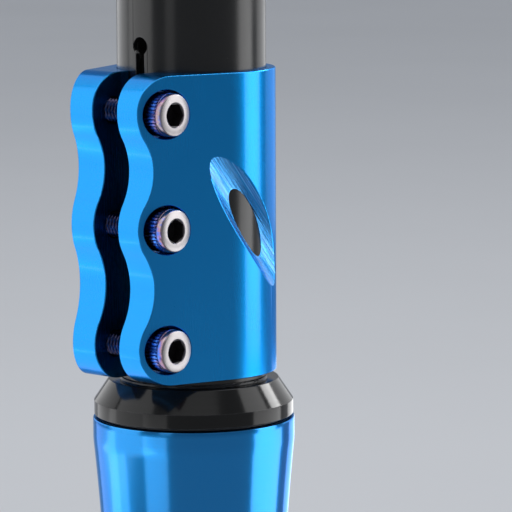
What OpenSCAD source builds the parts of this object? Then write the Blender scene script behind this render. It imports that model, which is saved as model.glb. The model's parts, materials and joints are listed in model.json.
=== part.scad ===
// Steering clamp coupling: a three-bolt split collar that joins an oversize handlebar tube
// to a threadless fork steerer, above an integrated headset in a flared head tube.
// Millimetres, +Z up the steering axis. The origin is on that axis, at the lower end of the steerer.

/* [Clamp collar] */
// Wall of the round part of the collar
clamp_wall = 2.2; // [1.8:0.1:4]
// Height of the collar
clamp_h = 71.4; // [60:0.1:90]
// Distance from the round part to the crest of the ears
ear_out = 9.65; // [9:0.05:14]
// Width of the slot between the ears
slot_w = 7.6; // [4:0.1:9]
// Thickness of the ear that holds the bolt heads, at its crest
head_ear_t = 6.6; // [6:0.1:9]
// Thickness of the threaded ear, at its crest
thread_ear_t = 7.3; // [6:0.1:9]
// Depth of the scallops between the bolts
scallop_d = 3.8; // [1:0.1:4.5]
// Radius of the rounded crest at each bolt
crest_r = 11; // [9.5:0.1:11.5]
// Radius of the ears' corners at the top and the foot of the collar
corner_r = 8.3; // [2:0.1:8.3]
// Distance from the crest of the ears to the bolt axes
bolt_inset = 7; // [6.6:0.1:8]
// Distance from the collar's lower face to the lower bolt axis
bolt_edge_low = 8.3; // [7:0.1:10]
// Distance from the collar's upper face to the upper bolt axis
bolt_edge_high = 8.8; // [7:0.1:10]
// Height of the middle bolt above the middle of the other two
bolt_mid_rise = 0.65; // [-1:0.05:1]
// Thickness of the ear left under the bolt heads
seat_web = 4.8; // [4:0.1:5.5]

/* [Milled channel] */
// Radius of the round-nosed channel across the collar
channel_r = 6.7; // [4:0.1:8]
// How far the channel breaks through into the collar's bore
channel_break = 0.85; // [0.3:0.05:1.2]
// Angle of the channel from level
channel_tilt = 49.4; // [30:0.1:70]
// Height of the channel's middle above the collar's lower face
channel_z = 36; // [30:0.1:44]

/* [Clamp bolts] */
// Nominal thread diameter of the clamp bolts and the preload bolt
thread_d = 6; // [5:0.5:6]
// Diameter of a bolt head
head_d = 10; // [9:0.1:10.5]
// Height of a bolt head
head_h = 6; // [5:0.1:6]
// Length of a clamp bolt under its head
clamp_bolt_l = 20; // [18:0.5:22]
// Width across the flats of the hexagon sockets
socket_af = 5; // [4:0.5:5.5]
// Depth of the hexagon sockets
socket_depth = 3.6; // [2:0.1:4]
// Thickness of the washer under each clamp bolt head
washer_t = 1; // [0.5:0.1:1.6]

/* [Handlebar tube] */
// Wall of the handlebar tube
bar_wall = 1.5; // [1.2:0.1:2]
// How far the tube stands out of the collar
bar_out = 28.6; // [20:0.1:90]
// Width of the slit in the tube
slit_w = 2.5; // [1.5:0.1:3]
// Diameter of the stop hole at the end of the slit
slit_hole_d = 4.2; // [3.5:0.1:6]
// Height of the stop hole above the collar
slit_hole_rise = 5.8; // [4:0.1:12]

/* [Steerer and shim] */
// Outside diameter of the steerer tube
steerer_od = 28.6; // [23:0.1:35]
// Wall of the steerer tube
steerer_wall = 1.9; // [1.6:0.1:3]
// Wall of the shim between the steerer and the handlebar tube
shim_wall = 1.6; // [1:0.1:5]
// How far the shim's end lies below the collar's upper face
shim_sink = 2.85; // [1:0.05:10]
// Height of the crown boss under the headset
crown_h = 10; // [7:0.5:20]
// Width of the crown boss's shoulder around the crown race seat
crown_shoulder = 4.5; // [3.5:0.1:6]

/* [Headset] */
// Height of the section of the bearings, from bore to outside
bearing_section = 5.4; // [5.2:0.1:7]
// Height of the bearings
bearing_h = 7; // [6.5:0.1:8.5]
// Diameter of the bearing balls
ball_d = 3.97; // [3:0.01:4]
// Number of balls in a bearing
ball_count = 20; // [12:1:20]
// How far the cover stays inside the outline of the head tube
cover_step = 0.3; // [0:0.05:1]
// Width of the ledge around the tube on top of the cover
cover_ledge = 2.6; // [1:0.1:3.5]
// Height of the cover without its lip
cover_h = 8.6; // [8:0.1:12]
// Height of the straight band at the foot of the cover
cover_band_h = 3.4; // [2:0.1:4]

/* [Head tube] */
// Length of the head tube
head_tube_l = 105; // [80:1:130]
// Wall of the head tube around the bearings
head_seat_wall = 3.35; // [2.8:0.05:5]
// Width of the step that the bearings sit on
head_shoulder = 2.5; // [2:0.1:3]
// Wall of the head tube in the middle
head_waist_wall = 3.2; // [2.5:0.1:4.5]
// Length of the straight band at each end of the head tube
head_band_l = 5.3; // [4:0.1:6]
// Length of the straight waist between the two flares
head_waist_l = 10.4; // [2:0.1:40]

/* [Hidden] */
$fn = 96;
EPS = 0.5;            // how far a cut runs past a face

// Clearances
run_gap = 0.05;       // radial gap of a running fit
free_gap = 0.3;       // radial gap of parts that only have to clear each other
lift_gap = 0.15;      // gap between faces that turn past each other
rim_gap = 0.6;        // visible gap between the head tube and what turns over it
clamp_gap = 2;        // gap between the cover and the collar
seat_gap = 0.1;       // radial gap of the washers in their seats
bearing_gap = 0.8;    // radial gap between the steerer and the bearings
ball_gap = 0.075;     // radial gap between the balls and their tracks

// Colours
BLUE = [0.04, 0.42, 0.80];
BLACK = [0.06, 0.06, 0.07];
STEEL = [0.72, 0.73, 0.75];
DARK_STEEL = [0.35, 0.35, 0.37];
OIL_SLICK = [0.40, 0.28, 0.55];
RUBBER = [0.09, 0.09, 0.09];
BRASS = [0.72, 0.58, 0.28];

// Radii and reaches from the steering axis
steerer_r = steerer_od / 2;
steerer_ir = steerer_r - steerer_wall;
shim_r = steerer_r + shim_wall;
bar_ir = shim_r + run_gap;
bar_r = bar_ir + bar_wall;
clamp_r = bar_r + clamp_wall;
ear_reach = clamp_r + ear_out;
channel_floor = bar_r - channel_break;
seat_x = slot_w / 2 + seat_web;                // seat of the washers
head_x = seat_x + washer_t;                    // underside of the bolt heads
crown_seat_step = 0.7;                         // how far the crown race's seat stands out of the steerer
crown_seat_r = steerer_r + crown_seat_step;
crown_r = crown_seat_r + crown_shoulder;
thread_r = thread_d / 2;
head_r = head_d / 2;
washer_edge = 0.5;                             // how far a washer stands out around the bolt head
washer_r = head_r + washer_edge;
counterbore_r = washer_r + seat_gap;

// Bearing section, with the top face at z = 0
bevel = 1.6;                                   // 45 degree bevel of the races
bearing_ir = steerer_r + bearing_gap;
bearing_or = bearing_ir + bearing_section;
race_gap = 1.8;                                // gap between the two races
race_t = (bearing_section - race_gap) / 2;     // thickness of each race
ball_r = ball_d / 2;
ball_pcr = (bearing_or + bearing_ir) / 2;      // radius of the circle of ball centres
track_r = ball_r + ball_gap;                   // radius of the ball track
cage_t = 0.9;
cage_h = 4.2;
cage_pocket_r = ball_r + run_gap;
seal_t = 0.6;
seal_sink = 0.1;                               // how far a seal sits below the race faces
seal_gap = 0.1;                                // gap between a seal's lip and the inner race

// Head tube and cover radii
head_r1 = bearing_or + head_seat_wall;         // at the ends
head_bore_r = bearing_or - head_shoulder;
head_waist_r = head_bore_r + head_waist_wall;
head_flare_l = (head_tube_l - head_waist_l) / 2 - head_band_l;
cover_r = head_r1 - cover_step;
cover_top_r = bar_r + cover_ledge;
seal_groove_r = bearing_or + 0.4;              // inside of the groove that holds the cover's seal
seal_groove_w = 1.5;
seal_groove_d = 0.4;

// Heights up the steering axis
crown_flange_t = 1.9;                          // flange of the crown race
crown_flange_step = 0.8;                       // how far the flange stands out of the boss
crown_flange_r = crown_r + crown_flange_step;
head_z0 = crown_h + crown_flange_t + rim_gap;  // lower rim of the head tube
head_z1 = head_z0 + head_tube_l;               // upper rim of the head tube
bearing_sink = 0.8;                            // how far the bearings sit inside the rims
upper_z = head_z1 - bearing_sink;              // top face of the upper bearing
lower_z = head_z0 + bearing_sink;              // bottom face of the lower bearing
ring_h = 2.5;                                  // compression ring above the upper bearing
ring_step = 1;                                 // how far the ring's cone runs above the bearing
ring_r = bearing_ir + bevel + ring_step;
cone_gap = 0.6;                                // from the small end of a cone to the end of its bevel
cover_z0 = head_z1 + rim_gap;
cover_z1 = cover_z0 + cover_h;
lip_h = 0.55;
lip_z = cover_z1 + lip_h;                      // top of the cover's lip, which carries the shim
bar_z0 = lip_z + lift_gap;
clamp_z0 = cover_z1 + clamp_gap;               // lower face of the collar
clamp_z1 = clamp_z0 + clamp_h;
bar_z1 = clamp_z1 + bar_out;
shim_z1 = clamp_z1 - shim_sink;
preload_gap = 3;                               // room above the steerer for the preload
steerer_z1 = shim_z1 - preload_gap;
bolt_y = -(ear_reach - bolt_inset);
bolt_low = clamp_z0 + bolt_edge_low;
bolt_high = clamp_z1 - bolt_edge_high;
BOLT_Z = [bolt_low, (bolt_low + bolt_high) / 2 + bolt_mid_rise, bolt_high];
// How far each clamp bolt's socket is turned: lower, middle, upper
SOCKET_TURN = [34, 0, 27];

// Preload parts
cap_r = bar_ir - free_gap;
cap_h = 6;
cap_spigot_r = steerer_ir - free_gap;
cap_spigot_h = 5;
cap_web = 2.4;                                 // cap thickness under the preload bolt's head
preload_bolt_l = 30;
star_wall = 1.55;                              // wall of the star nut's threaded sleeve
star_sleeve_r = thread_r + run_gap + star_wall;
star_sleeve_h = 11;
star_t = 0.9;                                  // thickness of each spring star
star_inset = 2;                                // from the sleeve's ends to the stars
star_points = 8;
star_notch_r = 2.6;                            // notches between the points
star_depth = 17;                               // from the preload bolt's head down to the star nut
star_z1 = shim_z1 + cap_web - star_depth;

// The ears' faces start this far inside the collar's circle, so that the two outlines cross
touch_sink = 0.03;

// Where a line from an ear's tip touches the collar's circle; side is 1 at +X and -1 at -X
function touch_angle(tip_x, side) = atan2(-ear_reach, tip_x)
    + side * acos(clamp_r / norm([tip_x, ear_reach]));
function on_collar(angle) = (clamp_r - touch_sink) * [cos(angle), sin(angle)];

// Radius of the scallop that meets two crests, gap apart, smoothly
crest_y = crest_r - ear_reach;
function scallop_r(gap) = ((gap / 2) ^ 2 + (crest_y + ear_reach - scallop_d) ^ 2 - crest_r ^ 2)
    / (2 * (crest_r - (crest_y + ear_reach - scallop_d)));

// Radius of the head tube at a share u of its flare, from the band to the waist
flare_power = 1.6;
flare_steps = 24;
function flare_r(u) = head_waist_r + (head_r1 - head_waist_r) * (1 - u) ^ flare_power;

module tube(r_out, r_in, z0, z1) {
    translate([0, 0, z0]) difference() {
        cylinder(r = r_out, h = z1 - z0);
        translate([0, 0, -EPS]) cylinder(r = r_in, h = z1 - z0 + 2 * EPS);
    }
}

module at_upper_bearing() { translate([0, 0, upper_z]) children(); }
module at_lower_bearing() { translate([0, 0, lower_z]) mirror([0, 0, 1]) children(); }
module at_bolt(i) { translate([0, bolt_y, BOLT_Z[i]]) rotate([0, 90, 0]) children(); }

// ---- head tube ----
module head_tube() {
    seat_z = bearing_sink + bearing_h;
    half = head_tube_l / 2;
    wall = [for (i = [0 : flare_steps]) [flare_r(i / flare_steps),
        half - head_band_l - head_flare_l * i / flare_steps]];
    lip = 0.4;
    upper = [[bearing_or, half], [head_r1 - lip, half], [head_r1, half - lip]];
    seat = [[head_bore_r, half - seat_z], [bearing_or - bevel, half - seat_z],
        [bearing_or, half - seat_z + bevel]];
    outline = concat([[head_bore_r, 0]], seat, upper, wall, [[head_waist_r, 0]]);
    color(BLUE) translate([0, 0, head_z0 + half]) {
        rotate_extrude() polygon(outline);
        mirror([0, 0, 1]) rotate_extrude() polygon(outline);
    }
}

// ---- bearings ----
module track() { translate([ball_pcr, -bearing_h / 2]) circle(r = track_r); }

module outer_race() {
    color(STEEL) rotate_extrude() difference() {
        polygon([[bearing_or - race_t, 0], [bearing_or, 0], [bearing_or, bevel - bearing_h],
            [bearing_or - bevel, -bearing_h], [bearing_or - race_t, -bearing_h]]);
        track();
    }
}

module inner_race() {
    color(STEEL) rotate_extrude() difference() {
        polygon([[bearing_ir + bevel, 0], [bearing_ir + race_t, 0], [bearing_ir + race_t, -bearing_h],
            [bearing_ir, -bearing_h], [bearing_ir, -bevel]]);
        track();
    }
}

module at_balls() {
    for (i = [0 : ball_count - 1]) rotate([0, 0, 360 * i / ball_count])
        translate([ball_pcr, 0, -bearing_h / 2]) children();
}

module ball_set() { color(STEEL) at_balls() sphere(r = ball_r); }

module ball_cage() {
    color(BRASS) difference() {
        translate([0, 0, -(bearing_h + cage_h) / 2])
            tube(ball_pcr + cage_t / 2, ball_pcr - cage_t / 2, 0, cage_h);
        at_balls() rotate([0, 90, 0])
            cylinder(r = cage_pocket_r, h = cage_t + 2 * EPS, center = true);
    }
}

module bearing_seal(z) {
    color(RUBBER)
        tube(bearing_or - race_t, bearing_ir + race_t + seal_gap, z - seal_t, z);
}

module upper_outer_race() { at_upper_bearing() outer_race(); }
module upper_inner_race() { at_upper_bearing() inner_race(); }
module upper_ball_set() { at_upper_bearing() ball_set(); }
module upper_ball_cage() { at_upper_bearing() ball_cage(); }
module upper_seal() { at_upper_bearing() bearing_seal(-seal_sink); }
module upper_inner_seal() { at_upper_bearing() bearing_seal(seal_t + seal_sink - bearing_h); }
module lower_outer_race() { at_lower_bearing() outer_race(); }
module lower_inner_race() { at_lower_bearing() inner_race(); }
module lower_ball_set() { at_lower_bearing() ball_set(); }
module lower_ball_cage() { at_lower_bearing() ball_cage(); }
module lower_seal() { at_lower_bearing() bearing_seal(-seal_sink); }
module lower_inner_seal() { at_lower_bearing() bearing_seal(seal_t + seal_sink - bearing_h); }

// ---- headset ----
module crown_race() {
    flange_z = crown_h + crown_flange_t;
    cone_top = lower_z + bevel - cone_gap;
    color(DARK_STEEL) rotate_extrude() polygon([[crown_seat_r, crown_h], [crown_flange_r, crown_h],
        [crown_flange_r, flange_z], [bearing_ir + bevel + lower_z - flange_z, flange_z],
        [bearing_ir + bevel + lower_z - cone_top, cone_top], [crown_seat_r, cone_top]]);
}

module compression_ring() {
    foot = upper_z - bevel + cone_gap;
    split_w = 2;
    color(BLACK) difference() {
        rotate_extrude() polygon([[steerer_r, foot], [bearing_ir + bevel + foot - upper_z, foot],
            [ring_r, upper_z + ring_step], [ring_r, upper_z + ring_h],
            [steerer_r, upper_z + ring_h]]);
        translate([0, -split_w / 2, foot - EPS]) cube([bearing_or, split_w, ring_h + bevel + 2 * EPS]);
    }
}

module headset_cover() {
    recess_r = ring_r + free_gap;
    color(BLACK) rotate_extrude() difference() {
        polygon([[steerer_r + run_gap, lip_z], [bar_r, lip_z], [bar_r, cover_z1], [cover_top_r, cover_z1],
            [cover_r, cover_z0 + cover_band_h], [cover_r, cover_z0], [recess_r, cover_z0],
            [recess_r, upper_z + ring_h], [steerer_r + run_gap, upper_z + ring_h]]);
        translate([seal_groove_r, cover_z0 - EPS]) square([seal_groove_w, EPS + seal_groove_d]);
    }
}

module cover_seal() {
    color(RUBBER)
        tube(seal_groove_r + seal_groove_w, seal_groove_r, head_z1 + lift_gap, cover_z0 + seal_groove_d);
}

// ---- fork steerer and preload ----
module fork_steerer() {
    seat_h = 5;
    edge = 0.8;
    color(DARK_STEEL) rotate_extrude() polygon([[steerer_ir, 0], [crown_r, 0],
        [crown_r, crown_h], [crown_seat_r, crown_h],
        [crown_seat_r, crown_h + seat_h], [steerer_r, crown_h + seat_h + edge],
        [steerer_r, steerer_z1 - edge / 2], [steerer_r - edge / 2, steerer_z1], [steerer_ir, steerer_z1]]);
}

module compression_shim() {
    shim_slit_w = 3;
    color(STEEL) difference() {
        tube(shim_r, steerer_r, lip_z, shim_z1);
        translate([-shim_slit_w / 2, -shim_r - EPS, lip_z - EPS])
            cube([shim_slit_w, shim_wall + 2 * EPS, shim_z1 - lip_z + 2 * EPS]);
    }
}

module star_nut() {
    module star() {
        difference() {
            cylinder(r = steerer_ir, h = star_t);
            for (i = [0 : star_points - 1]) rotate([0, 0, 360 * (i + 0.5) / star_points])
                translate([steerer_ir, 0, -EPS]) cylinder(r = star_notch_r, h = star_t + 2 * EPS);
            translate([0, 0, -EPS]) cylinder(r = star_sleeve_r - star_wall / 2, h = star_t + 2 * EPS);
        }
    }
    color(STEEL) translate([0, 0, star_z1 - star_sleeve_h]) {
        tube(star_sleeve_r, thread_r + run_gap, 0, star_sleeve_h);
        translate([0, 0, star_inset]) star();
        translate([0, 0, star_sleeve_h - star_inset - star_t]) star();
    }
}

module top_cap() {
    seat_z = shim_z1 + cap_web;
    edge = 0.6;
    color(BLACK) rotate_extrude() polygon([[thread_r + free_gap, shim_z1 - cap_spigot_h],
        [cap_spigot_r, shim_z1 - cap_spigot_h], [cap_spigot_r, shim_z1], [cap_r, shim_z1],
        [cap_r, shim_z1 + cap_h - edge], [cap_r - edge, shim_z1 + cap_h],
        [head_r + free_gap, shim_z1 + cap_h], [head_r + free_gap, seat_z], [thread_r + free_gap, seat_z]]);
}

// A cap screw along Z: its seat is at z = 0, its head above and its shank below
module cap_screw(length, socket_turn) {
    edge = 0.5;
    difference() {
        rotate_extrude() polygon([[0, -length], [thread_r - edge, -length], [thread_r, edge - length],
            [thread_r, 0], [head_r, 0], [head_r, head_h - edge], [head_r - edge, head_h], [0, head_h]]);
        translate([0, 0, head_h - socket_depth]) rotate([0, 0, socket_turn])
            cylinder(d = socket_af / cos(30), h = socket_depth + EPS, $fn = 6);
    }
}

module preload_bolt() {
    color(STEEL) translate([0, 0, shim_z1 + cap_web]) cap_screw(preload_bolt_l, 0);
}

// ---- handlebar and clamp ----
module handlebar_tube() {
    hole_z = clamp_z1 + slit_hole_rise;
    color(BLACK) difference() {
        tube(bar_r, bar_ir, bar_z0, bar_z1);
        translate([-slit_w / 2, -bar_r - EPS, bar_z0 - EPS])
            cube([slit_w, bar_r, hole_z - bar_z0 + EPS]);
        translate([0, 0, hole_z]) rotate([90, 0, 0]) cylinder(d = slit_hole_d, h = bar_r + EPS);
    }
}

// The collar before it is bored: a cylinder with an ear drawn out from it on each side
module collar_blank() {
    head_tip = slot_w / 2 + head_ear_t;
    thread_tip = slot_w / 2 + thread_ear_t;
    cylinder(r = clamp_r, h = clamp_h);
    linear_extrude(clamp_h) polygon([[0, 0], on_collar(touch_angle(head_tip, 1)),
        [head_tip, -ear_reach], [-thread_tip, -ear_reach], on_collar(touch_angle(-thread_tip, -1))]);
}

// Points along a corner of the ears whose centre is at height z, from one angle to another
corner_steps = 16;
function corner_arc(z, from, to) = [for (i = [0 : corner_steps])
    let (turn = from + (to - from) * i / corner_steps)
    [corner_r * (1 + cos(turn)) - ear_reach, z + corner_r * sin(turn)]];

// Outline of the ears seen from the side, y along the first axis and height along the second:
// a round crest at each bolt and a scallop between each two
module ear_side() {
    heights = [for (z = BOLT_Z) z - clamp_z0];
    intersection() {
        union() {
            translate([crest_y, 0]) square([clamp_r - crest_y + EPS, clamp_h]);
            for (z = heights) translate([crest_y, z]) circle(r = crest_r);
            for (i = [0 : 1]) {
                gap = heights[i + 1] - heights[i];
                r = scallop_r(gap);
                reach = [-(crest_y + ear_reach - scallop_d + r), gap / 2] * crest_r / (crest_r + r);
                difference() {
                    translate([crest_y + reach[0], heights[i] + reach[1]])
                        square([EPS - reach[0], gap - 2 * reach[1]]);
                    translate([scallop_d - ear_reach - r, heights[i] + gap / 2]) circle(r = r);
                }
            }
        }
        polygon(concat(corner_arc(corner_r, 270, 180), corner_arc(clamp_h - corner_r, 180, 90),
            [[clamp_r + EPS, clamp_h], [clamp_r + EPS, 0]]));
    }
}

module clamp_collar() {
    color(BLUE) difference() {
        translate([0, 0, clamp_z0]) intersection() {
            collar_blank();
            translate([-clamp_r - EPS, 0, 0]) rotate([90, 0, 90])
                linear_extrude(2 * clamp_r + 2 * EPS) ear_side();
        }
        translate([0, 0, clamp_z0 - EPS]) cylinder(r = bar_r, h = clamp_h + 2 * EPS);
        translate([-slot_w / 2, -ear_reach - EPS, clamp_z0 - EPS])
            cube([slot_w, ear_reach, clamp_h + 2 * EPS]);
        translate([channel_floor + channel_r, 0, clamp_z0 + channel_z]) rotate([-channel_tilt, 0, 0])
            rotate([90, 0, 0]) cylinder(r = channel_r, h = 4 * clamp_r, center = true);
        for (i = [0 : 2]) at_bolt(i) {
            translate([0, 0, -clamp_r]) cylinder(r = thread_r + run_gap, h = clamp_r);
            cylinder(r = thread_r + free_gap, h = seat_x + EPS);
            translate([0, 0, seat_x]) cylinder(r = counterbore_r, h = clamp_r);
        }
    }
}

module clamp_washer(i) {
    color(DARK_STEEL) at_bolt(i) tube(washer_r, thread_r + seat_gap, seat_x, head_x);
}

module clamp_bolt(i) {
    color(OIL_SLICK) at_bolt(i) translate([0, 0, head_x])
        cap_screw(clamp_bolt_l, SOCKET_TURN[i]);
}

module lower_washer() { clamp_washer(0); }
module middle_washer() { clamp_washer(1); }
module upper_washer() { clamp_washer(2); }
module lower_bolt() { clamp_bolt(0); }
module middle_bolt() { clamp_bolt(1); }
module upper_bolt() { clamp_bolt(2); }

head_tube();
upper_outer_race();
upper_ball_set();
upper_ball_cage();
upper_inner_race();
upper_seal();
upper_inner_seal();
lower_outer_race();
lower_ball_set();
lower_ball_cage();
lower_inner_race();
lower_seal();
lower_inner_seal();
crown_race();
fork_steerer();
compression_ring();
headset_cover();
cover_seal();
compression_shim();
star_nut();
top_cap();
preload_bolt();
handlebar_tube();
clamp_collar();
upper_washer();
middle_washer();
lower_washer();
upper_bolt();
middle_bolt();
lower_bolt();
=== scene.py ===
# %% [markdown]
# # A steering clamp, built piece by piece
# This unit joins the handlebar of a stunt scooter to its fork. A split collar with three screws grips
# the handlebar tube, and below it a black cover closes the headset at the top of a flared head tube.
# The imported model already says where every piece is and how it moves. This lesson gives the pieces
# their finished shapes and surfaces, and each step says what the real piece is, how it could be made
# in Blender, and why it is made this way here.

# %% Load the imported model
import json
import math

import bmesh
import bpy
from mathutils import Matrix, Vector


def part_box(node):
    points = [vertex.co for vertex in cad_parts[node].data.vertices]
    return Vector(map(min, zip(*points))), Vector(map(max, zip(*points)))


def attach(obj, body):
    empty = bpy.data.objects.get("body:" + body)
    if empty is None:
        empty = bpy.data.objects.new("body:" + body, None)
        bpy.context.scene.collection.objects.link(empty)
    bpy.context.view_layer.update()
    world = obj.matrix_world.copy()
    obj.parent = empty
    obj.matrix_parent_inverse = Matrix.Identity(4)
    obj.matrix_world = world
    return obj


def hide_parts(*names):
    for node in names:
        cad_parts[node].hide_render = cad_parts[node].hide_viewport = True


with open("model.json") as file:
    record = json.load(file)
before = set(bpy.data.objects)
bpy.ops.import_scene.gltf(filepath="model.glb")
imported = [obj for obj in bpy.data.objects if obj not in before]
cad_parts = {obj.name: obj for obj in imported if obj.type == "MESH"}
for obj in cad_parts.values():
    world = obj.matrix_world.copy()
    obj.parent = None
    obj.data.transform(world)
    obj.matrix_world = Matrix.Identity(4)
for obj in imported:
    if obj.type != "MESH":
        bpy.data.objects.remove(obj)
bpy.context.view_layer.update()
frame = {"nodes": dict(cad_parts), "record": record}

# %% [markdown]
# ## The sizes that come from the model
# A piece that is drawn again must land exactly where the model has it. The sizes could be typed in,
# but they would go stale when the model changes. So they are read from the boxes of the model's own
# pieces. Everything below is in millimetres, and meshes are turned into metres when they are made.

# %% Sizes from the boxes of the pieces
MM = 0.001


def box_mm(node):
    """Lowest and highest corner of a piece of the model, in millimetres."""
    return [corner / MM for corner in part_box(node)]


collar_low, collar_high = box_mm("clamp_collar")
bar_low, bar_high = box_mm("handlebar_tube")
cover_low, cover_high = box_mm("headset_cover")
tube_low, tube_high = box_mm("head_tube")
steerer_high = box_mm("fork_steerer")[1]
screw_low, screw_high = box_mm("lower_bolt")
cap_low, cap_high = box_mm("top_cap")
preload_low, preload_high = box_mm("preload_bolt")
collar_r = collar_high.x
ear_reach = -collar_low.y
bar_r = bar_high.x
head_r = (screw_high.z - screw_low.z) / 2
SCREW_NAMES = ["lower", "middle", "upper"]
screw_y = (screw_low.y + screw_high.y) / 2
screw_z = [sum(corner.z for corner in box_mm(name + "_bolt")) / 2 for name in SCREW_NAMES]
print("collar radius", round(collar_r, 2), "screws at", [round(z, 2) for z in screw_z])

# %% [markdown]
# ## The camera
# A long lens from almost level keeps the tubes' sides parallel. The camera could be tracked to an
# empty, but three small turns after aiming give full control of the framing: the collar sits left of
# the middle and leans by less than half a degree. The lens has no blur and no shift.

# %% Camera
LENS = 249.2
VIEW_AROUND = 42.8
VIEW_UP = 7.226
VIEW_DISTANCE = 833.9
AIM_ABOVE_COLLAR_FOOT = 36
TURN_RIGHT = 1.023
TURN_DOWN = 0.641
ROLL = -0.379


def turned(first, second, degrees):
    """Both unit vectors, turned in their own plane, the first towards the second."""
    c, s = math.cos(math.radians(degrees)), math.sin(math.radians(degrees))
    return first * c + second * s, second * c - first * s


around, up_angle = math.radians(VIEW_AROUND), math.radians(VIEW_UP)
ahead = -Vector((math.sin(around) * math.cos(up_angle), -math.cos(around) * math.cos(up_angle),
                 math.sin(up_angle)))
right = Vector((math.cos(around), math.sin(around), 0))
upward = right.cross(ahead)
stand = Vector((0, 0, collar_low.z + AIM_ABOVE_COLLAR_FOOT)) - ahead * VIEW_DISTANCE
ahead, right = turned(ahead, right, TURN_RIGHT)
ahead, upward = turned(ahead, upward, -TURN_DOWN)
right, upward = turned(right, upward, ROLL)
camera = bpy.data.objects.new("camera", bpy.data.cameras.new("camera"))
camera.data.lens = LENS
camera.data.clip_end = 100
camera.matrix_world = Matrix((right, upward, -ahead)).transposed().to_4x4()
camera.location = stand * MM
bpy.context.scene.collection.objects.link(camera)
bpy.context.scene.camera = camera
print("camera stands at", [round(value) for value in stand])

# %% [markdown]
# ## Floor and light
# Polished tubes show mostly what stands around them, so the light is a set of soft boxes. Most of them
# stand on the floor, because a camera that looks slightly down sees the floor mirrored in an upright
# wall. A picture of a studio could light the scene, but boxes can be moved one by one. A tall one at
# the left lights the crests of the ears, and panels on the floor below it light the scallops that face
# down. One behind at the right draws the bright band on the collar, and the ones at the side, back and
# front draw the softer bands on the black tube. A small one hangs higher up, where the slanted wall of
# the cover mirrors it. Four low ones draw the bands on the flared tube, which leans over and so mirrors
# the floor close by. The directions are degrees from +X towards +Y, and a box's brightness is its power
# per area and per pi.

# %% Floor, lights and tone
FLOOR_SIZE = 40
FLOOR_COLOUR = (0.76, 0.77, 0.79)
WORLD_COLOUR = (0.62, 0.65, 0.70, 1)
WORLD_STRENGTH = 0.62
SOFT_BOXES = {
    # name: (direction, distance, height of the foot, width, height, brightness), lengths in metres
    "crest_light": (-134, 1.00, 0, 0.90, 3.0, 1.9),
    "band_light": (44, 0.80, 0, 0.42, 2.4, 3.8),
    "side_light": (176, 1.10, 0, 0.90, 1.6, 1.2),
    "back_light": (94, 1.20, 0, 0.90, 1.3, 1.1),
    "front_light": (-80, 1.60, 0, 0.40, 1.6, 0.8),
    "cover_light": (77, 0.70, 0.40, 0.30, 0.25, 14.0),
    "low_left_light": (-168, 0.26, 0, 0.22, 0.08, 1.3),
    "low_front_light": (-91, 0.26, 0, 0.13, 0.08, 1.8),
    "low_right_light": (46, 0.26, 0, 0.22, 0.08, 3.6),
    "low_back_light": (106, 0.30, 0, 0.18, 0.08, 2.0),
}
FLOOR_PANELS = {
    # name: (direction, distance, width, length, brightness)
    "near_panel": (-148, 0.20, 0.18, 0.30, 1.7),
    "far_panel": (-132, 0.63, 0.60, 0.64, 1.7),
}
PANEL_HEIGHT = 0.004
TOP_LIGHT_HEIGHT = 1.5
TOP_LIGHT_SIZE = 2.0
TOP_LIGHT_BRIGHTNESS = 1.0


def add_light(name, width, height, brightness, place, turn):
    """A soft box that the camera itself doesn't see."""
    light = bpy.data.lights.new(name, "AREA")
    light.shape = "RECTANGLE"
    light.size, light.size_y = width, height
    light.energy = brightness * math.pi * width * height
    lamp = bpy.data.objects.new(name, light)
    lamp.location = place
    lamp.rotation_euler = turn
    lamp.visible_camera = False
    bpy.context.scene.collection.objects.link(lamp)


def on_floor(direction, distance, height):
    """A place at a direction and distance from the steering axis."""
    angle = math.radians(direction)
    return distance * math.cos(angle), distance * math.sin(angle), height


for name, (direction, distance, foot, width, height, brightness) in SOFT_BOXES.items():
    add_light(name, width, height, brightness, on_floor(direction, distance, foot + height / 2),
              (math.radians(90), 0, math.radians(direction + 90)))
for name, (direction, distance, width, length, brightness) in FLOOR_PANELS.items():
    add_light(name, width, length, brightness, on_floor(direction, distance, PANEL_HEIGHT),
              (math.radians(180), 0, math.radians(direction + 90)))
add_light("top_light", TOP_LIGHT_SIZE, TOP_LIGHT_SIZE, TOP_LIGHT_BRIGHTNESS,
          (0, 0, TOP_LIGHT_HEIGHT), (0, 0, 0))
bpy.context.scene.view_settings.view_transform = "Standard"
world = bpy.data.worlds.new("studio")
world.use_nodes = True
world.node_tree.nodes["Background"].inputs["Color"].default_value = WORLD_COLOUR
world.node_tree.nodes["Background"].inputs["Strength"].default_value = WORLD_STRENGTH
bpy.context.scene.world = world
print(len(SOFT_BOXES) + len(FLOOR_PANELS) + 1, "soft boxes")

# %% [markdown]
# ## Making meshes
# Everything on this unit is turned, sawn or milled, so two helpers cover the blanks: a lathe that
# spins an outline, and a prism that pushes one out. A third cuts one solid with another, as a milling
# cutter does. Rounded edges catch the light the way real edge breaks do, so the sawn and milled pieces
# get them from a bevel after the cutting, and the turned ones from arcs in their outline. Normals
# weighed by face size keep flat faces flat beside a bevel. Lengths are in millimetres here too.

# %% Helpers for meshes
AROUND = 160
FINE_AROUND = 220
HOLE_AROUND = 64
TINY = 1e-6
PAST = 1  # how far a cutter reaches past what it cuts
FACE_TURN = math.radians(30)


def new_piece(name, mesh_data):
    """Puts finished mesh data in the scene as a piece, with faces pointing outwards."""
    bmesh.ops.remove_doubles(mesh_data, verts=mesh_data.verts, dist=TINY)
    bmesh.ops.recalc_face_normals(mesh_data, faces=mesh_data.faces)
    mesh = bpy.data.meshes.new(name)
    mesh_data.to_mesh(mesh)
    mesh_data.free()
    piece = bpy.data.objects.new(name, mesh)
    bpy.context.scene.collection.objects.link(piece)
    return piece


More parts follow.
